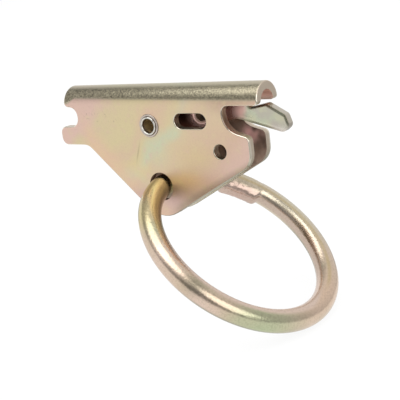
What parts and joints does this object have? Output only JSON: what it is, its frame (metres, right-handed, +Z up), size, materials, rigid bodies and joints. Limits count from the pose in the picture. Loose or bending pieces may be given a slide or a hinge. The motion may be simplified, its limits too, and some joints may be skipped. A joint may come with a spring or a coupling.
{
  "type": "cargo track fitting with ring",
  "caption": "Folded steel track fitting with an end notch, a hook mouth locked by a spring latch on a tubular rivet, and a welded round ring through its nose.",
  "frame": {"origin": "middle of the track slot that the fitting clips into, level with the lips that bear on the track, midway through the body's thickness", "axes": "+X along the folded roll towards the latch, +Y from the front plate to the back plate, +Z up out of the body into the track"},
  "size_m": [0.0901, 0.068, 0.0734],
  "materials": {
    "plated_sheet": "yellow zinc plate with pink and green bloom",
    "bright_rivet": "bright zinc plate",
    "plated_latch": "pale zinc plate, satin",
    "spring_wire": "drawn spring wire, oiled",
    "plated_bar": "glossy yellow zinc plate"
  },
  "bodies": {
    "body": {"body_shell": "plated_sheet", "pivot_rivet": "bright_rivet", "latch_spring": "spring_wire"},
    "latch": {"latch": "plated_latch"},
    "ring": {"ring": "plated_bar"}
  },
  "joints": [
    {"name": "latch_press", "type": "hinge", "parent": "body", "child": "latch", "pos_m": [-0.0025, 0, -0.0059], "axis": [0, 1, 0], "range_deg": [0, 12], "stiffness_Nm_per_rad": 0.085, "springref_deg": -57.3, "deforming": ["latch_spring"]},
    {"name": "ring_swing", "type": "hinge", "parent": "body", "child": "ring", "pos_m": [-0.0009, 0, -0.0254], "axis": [0, 1, 0], "continuous": true}
  ]
}
